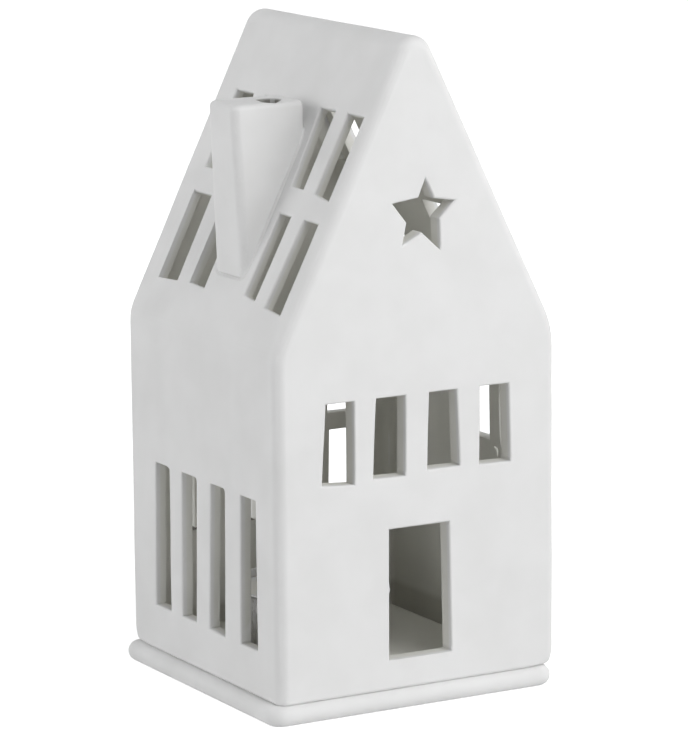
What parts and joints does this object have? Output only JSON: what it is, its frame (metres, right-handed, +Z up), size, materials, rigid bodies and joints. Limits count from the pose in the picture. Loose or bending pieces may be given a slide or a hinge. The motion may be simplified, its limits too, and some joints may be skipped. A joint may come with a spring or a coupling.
{
  "type": "tealight house",
  "caption": "Hollow porcelain house with a door, cut-out windows, a star and roof slots, standing loose on a plate with a raised seat over a tealight, with a flue in its chimney.",
  "frame": {"origin": "centre of the plate's flat underside", "axes": "+Z up, -Y out of the front gable with the door, -X out of the wall with the long windows, on the chimney's side"},
  "size_m": [0.0806, 0.08, 0.1633],
  "materials": {
    "porcelain_plate": "matt unglazed porcelain",
    "porcelain_house": "matt unglazed porcelain",
    "porcelain_chimney": "matt unglazed porcelain",
    "cup_aluminium": "bright drawn foil",
    "candle_wax": "white paraffin wax",
    "wick_cotton": "waxed cotton braid",
    "sustainer_tin": "stamped tinplate"
  },
  "bodies": {
    "base": {"base_plate": "porcelain_plate"},
    "house": {"house_shell": "porcelain_house", "chimney": "porcelain_chimney"},
    "tealight": {"tealight_cup": "cup_aluminium", "tealight_wax": "candle_wax", "tealight_wick": "wick_cotton", "wick_sustainer": "sustainer_tin"}
  },
  "joints": [
    {"name": "house_lift", "type": "slide", "parent": "base", "child": "house", "axis": [0, 0, 1], "range_m": [0, 0.06]},
    {"name": "tealight_lift", "type": "slide", "parent": "base", "child": "tealight", "axis": [0, 0, 1], "range_m": [0, 0.03]}
  ]
}
